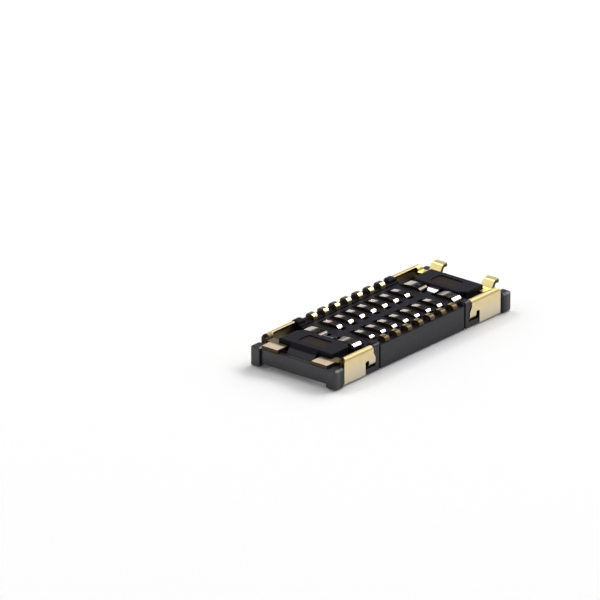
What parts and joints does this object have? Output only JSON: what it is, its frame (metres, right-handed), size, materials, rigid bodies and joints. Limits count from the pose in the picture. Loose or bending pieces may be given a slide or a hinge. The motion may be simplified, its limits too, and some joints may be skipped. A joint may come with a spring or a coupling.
{
  "type": "fpc connector",
  "caption": "Fine-pitch stacking receptacle for a flexible circuit, solder side up, with two rows of spring contacts and a wide power terminal at each corner.",
  "frame": {"origin": "middle of the plane that the corner pillars rest on, with the mating face down", "axes": "+X along the contact rows towards the end with the raised hold-down feet, +Y across the rows, +Z from the mating side to the solder side"},
  "size_m": [0.0054, 0.0022, 0.0006],
  "materials": {
    "housing_plastic": "fine matt moulded liquid crystal polymer, near black",
    "contact_metal": "thin gold plating over nickel on copper alloy strip",
    "terminal_metal": "gold plating over nickel on copper alloy sheet, sheared edges"
  },
  "bodies": {
    "root": {"housing": "housing_plastic", "signal_contact_rear_1": "contact_metal", "signal_contact_rear_2": "contact_metal", "signal_contact_rear_3": "contact_metal", "signal_contact_rear_4": "contact_metal", "signal_contact_rear_5": "contact_metal", "signal_contact_rear_6": "contact_metal", "signal_contact_rear_7": "contact_metal", "signal_contact_front_1": "contact_metal", "signal_contact_front_2": "contact_metal", "signal_contact_front_3": "contact_metal", "signal_contact_front_4": "contact_metal", "signal_contact_front_5": "contact_metal", "signal_contact_front_6": "contact_metal", "signal_contact_front_7": "contact_metal", "power_terminal_rear_right": "terminal_metal", "power_terminal_front_right": "terminal_metal", "power_terminal_rear_left": "terminal_metal", "power_terminal_front_left": "terminal_metal"}
  },
  "joints": []
}
